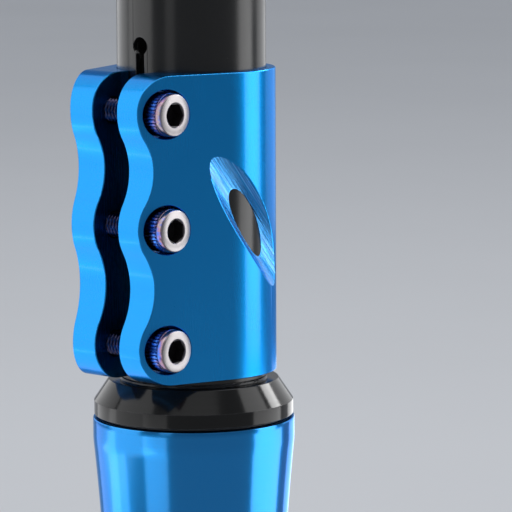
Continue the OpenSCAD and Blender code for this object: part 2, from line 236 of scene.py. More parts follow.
def bake_modifiers(piece):
    """Turns a piece's modifiers into plain mesh."""
    view = bpy.context.evaluated_depsgraph_get()
    shaped = bpy.data.meshes.new_from_object(piece.evaluated_get(view), preserve_all_data_layers=True,
                                             depsgraph=view)
    blank = piece.data
    piece.modifiers.clear()
    piece.data = shaped
    bpy.data.meshes.remove(blank)


def cut(piece, tool, how="DIFFERENCE"):
    """Cuts, joins or keeps the shared part of two closed solids, and throws the tool away."""
    step = piece.modifiers.new("cut", "BOOLEAN")
    step.operation, step.object, step.solver = how, tool, "EXACT"
    bake_modifiers(piece)
    bpy.data.objects.remove(tool)


def break_edges(piece, width, steps=3):
    """Rounds every edge sharper than FACE_TURN to a width in millimetres."""
    step = piece.modifiers.new("edge break", "BEVEL")
    step.width, step.segments = width * MM, steps
    step.limit_method, step.angle_limit = "ANGLE", FACE_TURN
    step.use_clamp_overlap = False
    step.miter_outer = "MITER_ARC"
    bake_modifiers(piece)


def smooth_faces(piece, turn=FACE_TURN):
    """Smooth shading that keeps real corners and the borders of finishes, with large faces unbent."""
    piece.data.shade_smooth()
    piece.data.set_sharp_from_angle(angle=turn)
    mesh_data = bmesh.new()
    mesh_data.from_mesh(piece.data)
    for edge in mesh_data.edges:
        if len({face.material_index for face in edge.link_faces}) > 1:
            edge.smooth = False
    mesh_data.to_mesh(piece.data)
    mesh_data.free()
    step = piece.modifiers.new("weights", "WEIGHTED_NORMAL")
    step.keep_sharp = True
    bake_modifiers(piece)


def rounded(corners, steps=4):
    """An outline in which each (radius, height, fillet) corner becomes an arc."""
    path = []
    for i, (x, y, fillet) in enumerate(corners):
        here = Vector((x, y))
        if not fillet:
            path.append(here)
            continue
        back = (Vector(corners[i - 1][:2]) - here).normalized()
        on = (Vector(corners[(i + 1) % len(corners)][:2]) - here).normalized()
        half = back.angle(on) / 2
        centre = here + (back + on).normalized() * fillet / math.sin(half)
        first = here + back * fillet / math.tan(half) - centre
        last = here + on * fillet / math.tan(half) - centre
        for k in range(steps + 1):
            path.append(centre + first.lerp(last, k / steps).normalized() * fillet)
    return path


def lathe(name, outline, steps=AROUND):
    """Spins a closed outline of (radius, height) points round Z."""
    blank = bmesh.new()
    rings = []
    for r, z in outline:
        count = 1 if r < TINY else steps
        turn = [2 * math.pi * k / steps for k in range(count)]
        rings.append([blank.verts.new((r * math.cos(a) * MM, r * math.sin(a) * MM, z * MM)) for a in turn])
    for one, two in zip(rings, rings[1:] + rings[:1]):
        if len(one) == 1 and len(two) == 1:
            continue
        for k in range(steps):
            after = k + 1
            corners = one[k % len(one)], one[after % len(one)], two[after % len(two)], two[k % len(two)]
            blank.faces.new(list(dict.fromkeys(corners)))
    return new_piece(name, blank)


def prism(name, outline, low, high, matrix=Matrix()):
    """Pushes a closed outline out along Z from low to high, then turns it into place."""
    blank = bmesh.new()
    floor = [blank.verts.new((x * MM, y * MM, low * MM)) for x, y in outline]
    roof = [blank.verts.new((x * MM, y * MM, high * MM)) for x, y in outline]
    blank.faces.new(floor)
    blank.faces.new(roof)
    for k in range(len(outline)):
        after = (k + 1) % len(outline)
        blank.faces.new((floor[k], floor[after], roof[after], roof[k]))
    bmesh.ops.transform(blank, matrix=matrix, verts=blank.verts)
    return new_piece(name, blank)


def arc(centre, radius, start, end, steps):
    """Points along an arc, with its angles in degrees."""
    angles = [math.radians(start + (end - start) * k / steps) for k in range(steps + 1)]
    return [(centre[0] + radius * math.cos(a), centre[1] + radius * math.sin(a)) for a in angles]


def rod(name, radius, low, high, matrix=Matrix(), steps=AROUND):
    """A plain round bar, used as a drill or a cutter."""
    return prism(name, arc((0, 0), radius, 0, 360 * (1 - 1 / steps), steps - 1), low, high, matrix)


def at(x, y, z):
    """A place in millimetres as a matrix."""
    return Matrix.Translation(Vector((x, y, z)) * MM)


def hand_over(piece, body, slot, finishes, *nodes):
    """Gives a piece its finishes, the body it moves with, and the model's pieces that it stands for."""
    choices = [min(face.material_index, len(finishes) - 1) for face in piece.data.polygons]
    piece.data.materials.clear()
    for finish in finishes:
        piece.data.materials.append(finish)
    for face, choice in zip(piece.data.polygons, choices):
        face.material_index = choice
    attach(piece, body)
    if nodes:
        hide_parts(*nodes)
    triangles = sum(len(face.vertices) - 2 for face in piece.data.polygons)
    print(piece.name, "has", triangles, "triangles")


# %% [markdown]
# ## Wiring finishes
# A finish is a tree of shader nodes. Long node code is hard to read, so one small class adds nodes and
# wires, and each effect that several finishes share is a node group with named inputs. The same class
# serves the trees of Geometry Nodes further on.

# %% A short way to wire nodes
class Bench:
    """A node tree with short calls to add and wire nodes."""

    def __init__(self, tree):
        self.tree = tree

    def add(self, kind, values=(), **settings):
        """A new node. Values fill its inputs by name or number, and a socket is wired in."""
        node = self.tree.nodes.new(kind)
        for key, value in settings.items():
            setattr(node, key, value)
        return self.fill(node, values)

    def fill(self, node, values):
        """Fills a node's inputs by name or number. A socket is wired in."""
        for key, value in dict(values).items():
            if isinstance(value, bpy.types.NodeSocket):
                self.tree.links.new(value, node.inputs[key])
            else:
                node.inputs[key].default_value = value
        return node

    def group(self, tree, values):
        """A node that holds a group, with its inputs filled, and gives its outputs."""
        return self.add("ShaderNodeGroup", values, node_tree=tree).outputs

    def maths(self, operation, *values):
        """The result of a Math node."""
        return self.add("ShaderNodeMath", dict(enumerate(values)), operation=operation).outputs[0]

    def spread(self, value, low, high, to_low=0.0, to_high=1.0):
        """A value moved from one range to another, and kept inside it."""
        inputs = {0: value, 1: low, 2: high, 3: to_low, 4: to_high}
        return self.add("ShaderNodeMapRange", inputs).outputs[0]

    def mix(self, share, one, two):
        """A mix of two colours."""
        node = self.add("ShaderNodeMix", {0: share, 6: one, 7: two}, data_type="RGBA")
        return node.outputs[2]


def new_group(name, inputs, outputs, kind_of_tree="ShaderNodeTree"):
    """An empty node group. Inputs are name: (type, default), and outputs are name: type."""
    tree = bpy.data.node_groups.new(name, kind_of_tree)
    for label, (kind, default) in inputs.items():
        socket = tree.interface.new_socket(name=label, in_out="INPUT", socket_type="NodeSocket" + kind)
        if default is not None:
            socket.default_value = default
    for label, kind in outputs.items():
        tree.interface.new_socket(name=label, in_out="OUTPUT", socket_type="NodeSocket" + kind)
    bench = Bench(tree)
    return bench, bench.add("NodeGroupInput").outputs, bench.add("NodeGroupOutput").inputs


# %% [markdown]
# ## Tool marks
# Machined metal is never blank. A brush or a belt leaves long fine scratches, and a lathe leaves rings.
# Both could be painted on a picture, but a noise that is squeezed one way gives scratches at any
# distance, and a noise that only reads the distance along the turned wall gives rings.

# %% Brushed lines and turned rings
MIDDLE = 0.5


def stretch_contrast(bench, given, noise, end):
    """Spreads a noise about its middle by the group's contrast, and wires it to the group's end."""
    centred = bench.maths("SUBTRACT", noise, MIDDLE)
    bench.tree.links.new(bench.maths("MULTIPLY_ADD", centred, given["Contrast"], MIDDLE), end)


bench, given, result = new_group(
    "brushed_lines",
    {"Place": ("Vector", (0, 0, 0)), "Squeeze": ("Vector", (1, 1, 1)), "Contrast": ("Float", 0.5)},
    {"Lines": "Float"})
squeezed = bench.add("ShaderNodeVectorMath", {0: given["Place"], 1: given["Squeeze"]},
                     operation="MULTIPLY").outputs[0]
grain = bench.add("ShaderNodeTexNoise", {"Vector": squeezed, "Scale": 1.0, "Detail": 5.0,
                                         "Roughness": 0.62}).outputs["Fac"]
stretch_contrast(bench, given, grain, result["Lines"])
brushed_lines = bench.tree

bench, given, result = new_group(
    "turned_rings",
    {"Place": ("Vector", (0, 0, 0)), "Per Metre": ("Float", 3000.0), "Contrast": ("Float", 0.5)},
    {"Rings": "Float"})
axes = bench.add("ShaderNodeSeparateXYZ", {0: given["Place"]}).outputs
radius_squared = bench.maths("ADD", bench.maths("POWER", axes[0], 2.0), bench.maths("POWER", axes[1], 2.0))
along = bench.maths("ADD", bench.maths("SQRT", radius_squared), axes[2])
wave = bench.maths("MULTIPLY", along, given["Per Metre"])
rings = bench.add("ShaderNodeTexNoise", {"W": wave, "Scale": 1.0, "Detail": 3.0},
                  noise_dimensions="1D").outputs["Fac"]
stretch_contrast(bench, given, rings, result["Rings"])
turned_rings = bench.tree
print("groups:", brushed_lines.name, turned_rings.name)

# %% [markdown]
# ## Worn edges with painted glints, and handling
# Edges lose their colour first, because hands and tools rub them, and the same paler edge colour is also a
# painted highlight for the glints along the edges. A mask of the edges could be painted, but here it
# compares the true normal with a rounded one: they differ only near an edge. Handling leaves wide soft
# patches that are a little duller, and a few specks of dust.

# %% Worn edges with painted edge highlights, and handling marks
FLAT_AGREEMENT, EDGE_AGREEMENT = 0.995, 0.90
EDGE_PATCH_FROM, EDGE_PATCH_TO = 0.35, 0.65
SMUDGE_FROM, SMUDGE_TO = 0.40, 0.72
SPECK_OUTSIDE, SPECK_INSIDE = 0.10, 0.04
DUSTY_FROM, DUSTY_TO = 0.56, 0.66

# The mask makes the edges paler: partly real wear, partly a painted highlight for the glints along them.
bench, given, result = new_group(
    "worn_edges", {"Place": ("Vector", (0, 0, 0)), "Width": ("Float", 0.0004), "Wear And Glint": ("Float", 0.5)},
    {"Mask": "Float"})
soft_normal = bench.add("ShaderNodeBevel", {"Radius": given["Width"]}, samples=4).outputs[0]
true_normal = bench.add("ShaderNodeNewGeometry").outputs["Normal"]
agreement = bench.add("ShaderNodeVectorMath", {0: soft_normal, 1: true_normal},
                      operation="DOT_PRODUCT").outputs["Value"]
edge = bench.spread(agreement, FLAT_AGREEMENT, EDGE_AGREEMENT)
patches = bench.add("ShaderNodeTexNoise", {"Vector": given["Place"], "Scale": 900.0, "Detail": 4.0,
                                           "Roughness": 0.7}).outputs["Fac"]
worn_and_glinting = bench.maths("MULTIPLY", edge, bench.spread(patches, EDGE_PATCH_FROM, EDGE_PATCH_TO))
bench.tree.links.new(bench.maths("MULTIPLY", worn_and_glinting, given["Wear And Glint"]), result["Mask"])
worn_edges = bench.tree

bench, given, result = new_group(
    "handling", {"Place": ("Vector", (0, 0, 0)), "Per Metre": ("Float", 40.0)},
    {"Smudge": "Float", "Dust": "Float"})
smudge = bench.add("ShaderNodeTexNoise", {"Vector": given["Place"], "Scale": given["Per Metre"],
                                          "Detail": 3.0, "Distortion": 0.6}).outputs["Fac"]
bench.tree.links.new(bench.spread(smudge, SMUDGE_FROM, SMUDGE_TO), result["Smudge"])
specks = bench.add("ShaderNodeTexVoronoi", {"Vector": given["Place"], "Scale": 620.0},
                   feature="F1").outputs["Distance"]
where = bench.add("ShaderNodeTexNoise", {"Vector": given["Place"], "Scale": 160.0}).outputs["Fac"]
dust = bench.maths("MULTIPLY", bench.spread(specks, SPECK_OUTSIDE, SPECK_INSIDE),
                   bench.spread(where, DUSTY_FROM, DUSTY_TO))
bench.tree.links.new(dust, result["Dust"])
handling = bench.tree
print("groups:", worn_edges.name, handling.name)

# %% [markdown]
# ## One recipe for machined finishes
# Nearly every piece here shares one recipe: a colour, a duller shade of it in the tool marks, a paler one
# where the edges are worn, which also serves as a painted edge highlight, and a roughness that varies with
# the marks and rises with smudges and dust.
# A material of its own for each piece would also work, but only the numbers differ, so one function
# builds them all, and each finish below is a short call.

# %% The recipe
COAT_IOR = 1.6
COAT_ROUGHNESS = 0.10
MARK_FROM, MARK_TO = 0.30, 0.70
ROUGHNESS_SWING = 0.06
DUST_DULLING = 0.25
RELIEF_DEPTH = 0.0001
WHITE = (1, 1, 1)


def machined(name, colour, mark_colour, edge_colour, roughness, metallic=1.0, fineness=3000.0, contrast=0.5,
             squeeze=None, turn=(0, 0, 0), wear_and_glint=0.5, edge_width=0.0004, bump=0.02, coat=0.0, smudge=0.06,
             specular=0.5, rim=WHITE):
    """A metal or painted finish with worn edges, whose paler colour is also a painted edge highlight,
    smudges and dust. A squeeze gives it brushed lines in place of turned rings."""
    finish = bpy.data.materials.new(name)
    finish.use_nodes = True
    board = Bench(finish.node_tree)
    place = board.add("ShaderNodeTexCoord").outputs["Object"]
    marks = {"Contrast": contrast,
             "Place": board.add("ShaderNodeMapping", {"Vector": place, "Rotation": turn}).outputs[0]}
    if squeeze:
        mark = board.group(brushed_lines, {"Squeeze": squeeze, **marks})[0]
    else:
        mark = board.group(turned_rings, {"Per Metre": fineness, **marks})[0]
    # The edge mask mixes in the edge colour: worn metal, and a painted highlight along the edges.
    edges = board.group(worn_edges, {"Width": edge_width, "Wear And Glint": wear_and_glint, "Place": place})
    hands = board.group(handling, {"Place": place})
    tinted = board.mix(board.spread(mark, MARK_FROM, MARK_TO), (*colour, 1), (*mark_colour, 1))
    rough = board.spread(mark, 0.0, 1.0, roughness - ROUGHNESS_SWING, roughness + ROUGHNESS_SWING)
    rough = board.maths("ADD", rough, board.maths("MULTIPLY", hands["Smudge"], smudge))
    relief = board.add("ShaderNodeBump", {"Height": mark, "Strength": bump, "Distance": RELIEF_DEPTH})
    board.fill(finish.node_tree.nodes["Principled BSDF"], {
        "Metallic": metallic, "Specular IOR Level": specular, "Specular Tint": (*rim, 1),
        "Coat Weight": coat, "Coat Roughness": COAT_ROUGHNESS, "Coat IOR": COAT_IOR,
        "Base Color": board.mix(edges["Mask"], tinted, (*edge_colour, 1)),
        "Roughness": board.maths("MULTIPLY_ADD", hands["Dust"], DUST_DULLING, rough),
        "Normal": relief.outputs[0]})
    return finish


print("recipe ready")

# %% [markdown]
# ## The finishes
# The blue parts are bright aluminium under a dyed oxide film. Light passes the dye twice, so the metal
# itself looks deep blue, and the clear film adds a whiter gleam on top: that is the coat. A metal turns
# white where it is seen edge on, and the dye doesn't let it, so the rim has a blue of its own. The
# collar is belt finished along its height, the head tube is turned, and the channel keeps its milling
# lines, which lie along its slant.

# %% Blue anodised aluminium
CHANNEL_TILT = 49.4
BLUE = (0.002, 0.185, 0.48)
BLUE_MARK = (0.001, 0.170, 0.44)
# BLUE_EDGE is the paler blue of worn edges, and also a painted highlight along them.
BLUE_EDGE = (0.08, 0.42, 0.90)
BLUE_RIM = (0.15, 0.55, 1.0)
collar_blue = machined("anodised_blue_brushed", BLUE, BLUE_MARK, BLUE_EDGE, 0.26, squeeze=(9000, 9000, 90),
                       contrast=0.45, bump=0.02, coat=0.2, wear_and_glint=0.7, smudge=0.03, rim=BLUE_RIM)
channel_blue = machined("anodised_blue_milled", (0.08, 0.36, 0.75), (0.004, 0.15, 0.42), BLUE_EDGE, 0.16,
                        squeeze=(3800, 50, 3800), contrast=3.0, turn=(math.radians(CHANNEL_TILT), 0, 0),
                        bump=0.6, coat=0.5, wear_and_glint=0.9, smudge=0.03, rim=BLUE_RIM)
tube_blue = machined("anodised_blue_turned", (0.002, 0.16, 0.42), (0.001, 0.14, 0.38), BLUE_EDGE, 0.17,
                     fineness=5200, contrast=0.7, bump=0.03, coat=0.3, wear_and_glint=0.6, smudge=0.03, rim=BLUE_RIM)

# %% [markdown]
# The handlebar tube is steel under satin black paint, so it is no metal to the eye. The cover and the
# cap are polished and dyed black, with a sharper gleam. The insides of the screw sockets get a near-black
# painted shade for the shadow in those deep recesses, and the steerer has a thin film of oil. The bearing
# steel, the bare aluminium of the shim, the rubber and the brass complete the set.

# %% Black, steel, aluminium, rubber and brass
# The third colour of each finish is its edge colour, for worn edges and a painted edge highlight.
bar_black = machined("satin_black_paint", (0.004, 0.004, 0.004), (0.006, 0.006, 0.006), (0.20, 0.20, 0.21),
                     0.19, metallic=0.0, squeeze=(2500, 2500, 2500), contrast=0.8, bump=0.05, wear_and_glint=0.5,
                     smudge=0.06, edge_width=0.0003, specular=0.34)
cover_black = machined("polished_black_anodised", (0.005, 0.005, 0.005), (0.003, 0.003, 0.003),
                       (0.25, 0.25, 0.27), 0.11, metallic=0.0, fineness=4200, contrast=0.8, bump=0.04,
                       coat=0.05, wear_and_glint=0.4, smudge=0.04, edge_width=0.0003, specular=0.15)
# The socket finish is painted shade: a near-black stand-in for the shadow inside the screw sockets.
socket_shade_finish = machined("oiled_black_socket", (0.006, 0.005, 0.006), (0.012, 0.010, 0.012),
                        (0.10, 0.09, 0.10), 0.30, metallic=0.0, fineness=3000, contrast=1.2, bump=0.05,
                        wear_and_glint=0.5, smudge=0.04, edge_width=0.0002, specular=0.25)
oiled_steel = machined("oiled_dark_steel", (0.20, 0.20, 0.21), (0.14, 0.14, 0.15), (0.55, 0.55, 0.56), 0.30,
                       fineness=3600, contrast=1.2, bump=0.10)
lapped_steel = machined("lapped_bearing_steel", (0.62, 0.63, 0.65), (0.52, 0.53, 0.55), (0.80, 0.80, 0.81),
                        0.14, fineness=7000, contrast=0.8, bump=0.03)
bare_aluminium = machined("turned_aluminium", (0.60, 0.61, 0.63), (0.50, 0.51, 0.53), (0.80, 0.80, 0.81),
                          0.28, fineness=3200, contrast=1.2, bump=0.08)
seal_rubber = machined("nitrile_rubber", (0.020, 0.020, 0.020), (0.014, 0.014, 0.014), (0.06, 0.06, 0.06),
                       0.62, metallic=0.0, squeeze=(3000, 3000, 3000), contrast=1.4, bump=0.2, wear_and_glint=0.3)
cage_brass = machined("pressed_brass", (0.62, 0.43, 0.15), (0.48, 0.32, 0.11), (0.80, 0.62, 0.32), 0.30,
                      fineness=2500, contrast=1.2, bump=0.1)
print("finishes:", [material.name for material in bpy.data.materials])

# %% [markdown]
# ## Heat colours and painted shade on the screws
# The screws have an oil slick finish: a film so thin that its thickness picks the colour. Blue, violet
# and rose drift along the sides, and the faces, which were polished last, stay silvery. Towards the far
# end of the shank the colours turn near black, which is painted shade for the shank deep in the slot.
# The colour is read from the place on the screw and a slow noise, so it is the same from every side, and
# only the gleam depends on the light.

# %% Oil slick finish, with painted shade on the shank
# The first, darkest stops fall on the shank: painted shade for the threads deep in the slot. The others are
# heat colours.
SLICK_AND_SHADE_COLOURS = [(0.00, (0.04, 0.04, 0.08)), (0.28, (0.06, 0.05, 0.10)), (0.44, (0.03, 0.16, 0.55)),
                 (0.60, (0.04, 0.12, 0.45)), (0.74, (0.20, 0.11, 0.17)), (0.86, (0.22, 0.18, 0.18)),
                 (1.00, (0.12, 0.13, 0.30))]
SILVER = (0.25, 0.235, 0.24)
SILVER_BAND = 0.25
SILVER_FULL = 0.05
SLICK_LENGTH = 7.5
SLICK_FROM, SLICK_TO = -0.42, 0.34
SIDE_ROUGHNESS, FACE_ROUGHNESS = 0.17, 0.30
SLICK_SMUDGE = 0.08


def slick_and_shade_finish():
    """Drifting heat colours on the sides of a screw, a near-black painted shade along the shank, and silver
    on its face.
    """
    finish = bpy.data.materials.new("oil_slick_film")
    finish.use_nodes = True
    board = Bench(finish.node_tree)
    place = board.add("ShaderNodeTexCoord").outputs["Object"]
    along = board.add("ShaderNodeSeparateXYZ", {0: place}).outputs[0]
    drift = board.add("ShaderNodeTexNoise", {"Vector": place, "Scale": 210.0, "Detail": 2.0}).outputs["Fac"]
    streaks = board.group(brushed_lines, {"Squeeze": (400, 2200, 2200), "Contrast": 0.5, "Place": place})[0]
    up_head = board.spread(along, (screw_high.x - SLICK_LENGTH) * MM, screw_high.x * MM, SLICK_FROM, SLICK_TO)
    # Far from the head the value drops to the dark stops, so the shank gets painted shade.
    film_and_shade = board.maths("ADD", board.maths("ADD", drift, up_head), board.maths("SUBTRACT", streaks, MIDDLE))
    ramp = board.add("ShaderNodeValToRGB", {"Fac": film_and_shade})
    stops = ramp.color_ramp.elements
    for stop, (place_on_ramp, colour) in zip(stops, SLICK_AND_SHADE_COLOURS[:1] + SLICK_AND_SHADE_COLOURS[-1:]):
        stop.position, stop.color = place_on_ramp, (*colour, 1)
    for place_on_ramp, colour in SLICK_AND_SHADE_COLOURS[1:-1]:
        stops.new(place_on_ramp).color = (*colour, 1)
    face_share = board.spread(along, (screw_high.x - SILVER_BAND) * MM, (screw_high.x - SILVER_FULL) * MM)
    edges = board.group(worn_edges, {"Width": 0.0002, "Wear And Glint": 0.7, "Place": place})
    # Worn edges turn silver too, partly as wear and partly as a painted edge highlight.
    silver_share = board.maths("MAXIMUM", face_share, edges["Mask"])
    hands = board.group(handling, {"Place": place})
    rough = board.spread(face_share, 0.0, 1.0, SIDE_ROUGHNESS, FACE_ROUGHNESS)
    relief = board.add("ShaderNodeBump", {"Height": streaks, "Strength": 0.05, "Distance": RELIEF_DEPTH})
    board.fill(finish.node_tree.nodes["Principled BSDF"], {
        "Metallic": 1.0, "Base Color": board.mix(silver_share, ramp.outputs[0], (*SILVER, 1)),
        "Roughness": board.maths("MULTIPLY_ADD", hands["Smudge"], SLICK_SMUDGE, rough),
        "Normal": relief.outputs[0]})
    return finish


oil_slick = slick_and_shade_finish()
print("finish:", oil_slick.name)

# %% [markdown]
# The floor is matt and pale, with a faint cloudiness so that it isn't a single flat colour. A box that
# stands on a floor burns a white patch beside its foot. The boxes could be lifted, but then the tubes
# would mirror the gap, so light linking lets them light the pieces and not the floor.

# %% The floor
CLOUD_FROM, CLOUD_TO = 0.3, 0.7
FLOOR_PATCH = 0.97
FLOOR_ROUGHNESS = 0.85
floor_finish = bpy.data.materials.new("pale_floor")
floor_finish.use_nodes = True
board = Bench(floor_finish.node_tree)
cloud = board.add("ShaderNodeTexNoise", {"Vector": board.add("ShaderNodeTexCoord").outputs["Object"],
                                         "Scale": 3.0, "Detail": 4.0}).outputs["Fac"]
floor_tone = board.mix(board.spread(cloud, CLOUD_FROM, CLOUD_TO), (*FLOOR_COLOUR, 1),
                       (*(FLOOR_PATCH * value for value in FLOOR_COLOUR), 1))
board.fill(floor_finish.node_tree.nodes["Principled BSDF"],
           {"Base Color": floor_tone, "Roughness": FLOOR_ROUGHNESS})
sheet = bmesh.new()
bmesh.ops.create_grid(sheet, x_segments=1, y_segments=1, size=FLOOR_SIZE / 2)
floor = new_piece("floor", sheet)
floor.data.materials.append(floor_finish)
unlit = bpy.data.collections.new("not_lit_by_boxes")
unlit.objects.link(floor)
unlit.collection_objects[0].light_linking.link_state = "EXCLUDE"
for name in [*SOFT_BOXES, *FLOOR_PANELS]:
    bpy.data.objects[name].light_linking.receiver_collection = unlit

# %% [markdown]
# ## The collar
# The real collar is sawn from an extruded bar, bored, slit, and milled. It could be modelled by hand
# with a subdivision surface, but its outline is arcs and straight lines that touch, so it is built as
# it is machined. First the end view is pushed up to make a bar with its bore and slot.

# %% The bar with its bore and slot
SLOT_HALF = 3.8
HEAD_EAR_TIP = 10.4
THREAD_EAR_TIP = -11.1
OUTER_STEPS = 180


def touch_angle(tip, side):
    """Where the line from an ear's tip touches the collar's circle, in degrees."""
    turn = math.degrees(math.acos(collar_r / math.hypot(tip, ear_reach)))
    return math.degrees(math.atan2(-ear_reach, tip)) + side * turn


start, end = touch_angle(HEAD_EAR_TIP, 1), touch_angle(THREAD_EAR_TIP, -1) + 360
slot_corner = math.degrees(math.asin(SLOT_HALF / bar_r))
end_view = (arc((0, 0), collar_r, start, end, OUTER_STEPS)
            + [(THREAD_EAR_TIP, -ear_reach), (-SLOT_HALF, -ear_reach)]
            + arc((0, 0), bar_r, 270 - slot_corner, slot_corner - 90, OUTER_STEPS)
            + [(SLOT_HALF, -ear_reach), (HEAD_EAR_TIP, -ear_reach)])
collar = prism("clamp_collar_body", end_view, collar_low.z, collar_high.z)
print("collar outline has", len(end_view), "points")

# %% [markdown]
# The ears are then milled from the side: a round crest at each screw and a scallop between. The side
# view is a chain of arcs that touch, and only the part shared with the bar is kept.

# %% The scalloped ears
CREST_R = 11
SCALLOP_DEPTH = 3.8
CORNER_R = 8.3
ARC_STEPS = 36
crest_y = CREST_R - ear_reach
profile_from_side = Matrix(((0, 0, 1, 0), (1, 0, 0, 0), (0, 1, 0, 0), (0, 0, 0, 1)))


def side_view():
    """Outline of the ears in depth and height, from the foot of the collar to its top."""
    corner_y = CORNER_R - ear_reach
    points = arc((corner_y, collar_low.z + CORNER_R), CORNER_R, 270, 180, ARC_STEPS)[:-1]
    low_turn = 0
    for z, next_z in zip(screw_z, screw_z[1:]):
        gap = next_z - z
        rise = crest_y + ear_reach - SCALLOP_DEPTH
        scallop_r = ((gap / 2) ** 2 + rise ** 2 - CREST_R ** 2) / (2 * (CREST_R - rise))
        high_turn = math.degrees(math.atan2(gap / 2, rise + scallop_r))
        points += arc((crest_y, z), CREST_R, 180 + low_turn, 180 - high_turn, ARC_STEPS)
        points += arc((SCALLOP_DEPTH - ear_reach - scallop_r, z + gap / 2), scallop_r, -high_turn, high_turn,
                      ARC_STEPS)[1:-1]
        low_turn = high_turn
    points += arc((crest_y, screw_z[-1]), CREST_R, 180 + low_turn, 180, ARC_STEPS)
    points += arc((corner_y, collar_high.z - CORNER_R), CORNER_R, 180, 90, ARC_STEPS)
    under, over, behind = collar_low.z - PAST, collar_high.z + PAST, collar_r + PAST
    return [(corner_y, under)] + points + [(corner_y, over), (behind, over), (behind, under)]


cut(collar, prism("side_profile", side_view(), -2 * collar_r, 2 * collar_r, profile_from_side), "INTERSECT")
print("scalloped collar has", len(collar.data.vertices), "points")

# %% [markdown]
# A round cutter crosses the wall at a slant and just breaks into the bore, which leaves an oval window.
# Then each screw gets a clearance hole and a counterbore in one ear, and a tapped hole in the other.
# Rods of the right radius do the cutting. The faces that lie on the channel's cutter get its milled
# finish, and all others the brushed one.

# %% The channel and the screw holes
CHANNEL_R = 6.7
CHANNEL_BREAK = 0.85
CHANNEL_RISE = 36
SEAT_X = 8.6
COUNTERBORE_R = 5.6
CLEAR_HOLE_R = 3.3
TAPPED_HOLE_R = 3.05
DRILL_REACH = 30
CHANNEL_AROUND = 200
COUNTERBORE_AROUND = 96
CHANNEL_MARGIN = 0.03
COLLAR_BREAK = 0.3
channel_centre = Vector((bar_r - CHANNEL_BREAK + CHANNEL_R, 0, collar_low.z + CHANNEL_RISE))
channel_turn = Matrix.Rotation(math.radians(90 - CHANNEL_TILT), 4, "X")
cut(collar, rod("channel_cutter", CHANNEL_R, -2 * DRILL_REACH, 2 * DRILL_REACH,
                at(*channel_centre) @ channel_turn, CHANNEL_AROUND))
along_x = Matrix.Rotation(math.radians(90), 4, "Y")
for z in screw_z:
    place = at(0, screw_y, z) @ along_x
    cut(collar, rod("tap_drill", TAPPED_HOLE_R, -DRILL_REACH, 0, place, HOLE_AROUND))
    cut(collar, rod("clearance_drill", CLEAR_HOLE_R, 0, DRILL_REACH, place, HOLE_AROUND))
    cut(collar, rod("counterbore", COUNTERBORE_R, SEAT_X, DRILL_REACH, place, COUNTERBORE_AROUND))
break_edges(collar, COLLAR_BREAK)
channel_axis = channel_turn.to_3x3() @ Vector((0, 0, 1))
for face in collar.data.polygons:
    spokes = [collar.data.vertices[v].co / MM - channel_centre for v in face.vertices]
    reach = [(spoke - channel_axis * spoke.dot(channel_axis)).length for spoke in spokes]
    face.material_index = int(max(reach) < CHANNEL_R + CHANNEL_MARGIN)
smooth_faces(collar)
hand_over(collar, "handlebar", "anodised_blue", [collar_blue, channel_blue], "clamp_collar")

# %% [markdown]
# ## The screws
# A cap screw's head is knurled so that fingers can turn it, and its shank carries a rolled thread. Both
# are rules that repeat round an axis, so Geometry Nodes make them on a plain turned blank. The knurl
# presses straight grooves into the lower part of the head: the angle round the axis, times the number
# of grooves, folds into a zigzag, and each point moves in by the depth of that zigzag. The thread is
# the same idea with a climb: its zigzag also moves up by one pitch for each turn.

# %% Trees of Geometry Nodes that move a turned wall
THREAD_ROOT, THREAD_CREST = 0.08, 0.42
WALL_MARGIN = 0.2  # how deep a point may lie and still count as the outer wall


def wall_tree(name, sizes):
    """A tree for a turned blank, with named sizes and a finish as its inputs."""
    inputs = {"Geometry": ("Geometry", None), **{label: ("Float", size) for label, size in sizes.items()},
              "Finish": ("Material", None)}
    board, given, result = new_group(name, inputs, {"Geometry": "Geometry"}, "GeometryNodeTree")
    board.tree.is_modifier = True
    place = board.add("GeometryNodeInputPosition").outputs[0]
    return board, given, result, board.add("ShaderNodeSeparateXYZ", {0: place}).outputs


def move_wall(board, given, result, axes, distance):
    """Moves the points on the outer wall out by a distance, then realizes, paints and ends the tree."""
    flat = board.add("ShaderNodeCombineXYZ", {0: axes[0], 1: axes[1]}).outputs[0]
    radius = board.add("ShaderNodeVectorMath", {0: flat}, operation="LENGTH").outputs["Value"]
    on_wall = board.maths("GREATER_THAN", radius, given["Wall Radius"])
    outward = board.add("ShaderNodeVectorMath", {0: flat}, operation="NORMALIZE").outputs[0]
    shift = board.add("ShaderNodeVectorMath", {0: outward, 3: board.maths("MULTIPLY", distance, on_wall)},
                      operation="SCALE").outputs[0]
    moved = board.add("GeometryNodeSetPosition", {"Geometry": given["Geometry"], "Offset": shift})
    real = board.add("GeometryNodeRealizeInstances", {0: moved.outputs[0]})
    painted = board.add("GeometryNodeSetMaterial", {"Geometry": real.outputs[0], "Material": given["Finish"]})
    board.tree.links.new(painted.outputs[0], result["Geometry"])
    return board.tree


def groove_tree(name, sizes, pattern):
    """A tree that presses a pattern of grooves, from 0 to 1, into the wall between Low and High."""
    board, given, result, axes = wall_tree(name, sizes)
    turns = board.maths("DIVIDE", board.maths("ARCTAN2", axes[1], axes[0]), 2 * math.pi)
    low, high, fade = given["Low"], given["High"], given["Fade"]
    rising = board.spread(axes[2], low, board.maths("ADD", low, fade))
    falling = board.spread(axes[2], board.maths("SUBTRACT", high, fade), high, 1.0, 0.0)
    share = board.maths("MULTIPLY", board.maths("MULTIPLY", rising, falling),
                        pattern(board, given, axes[2], turns))
    depth = board.maths("MULTIPLY", share, given["Depth"])
    return move_wall(board, given, result, axes, board.maths("MULTIPLY", depth, -1.0))


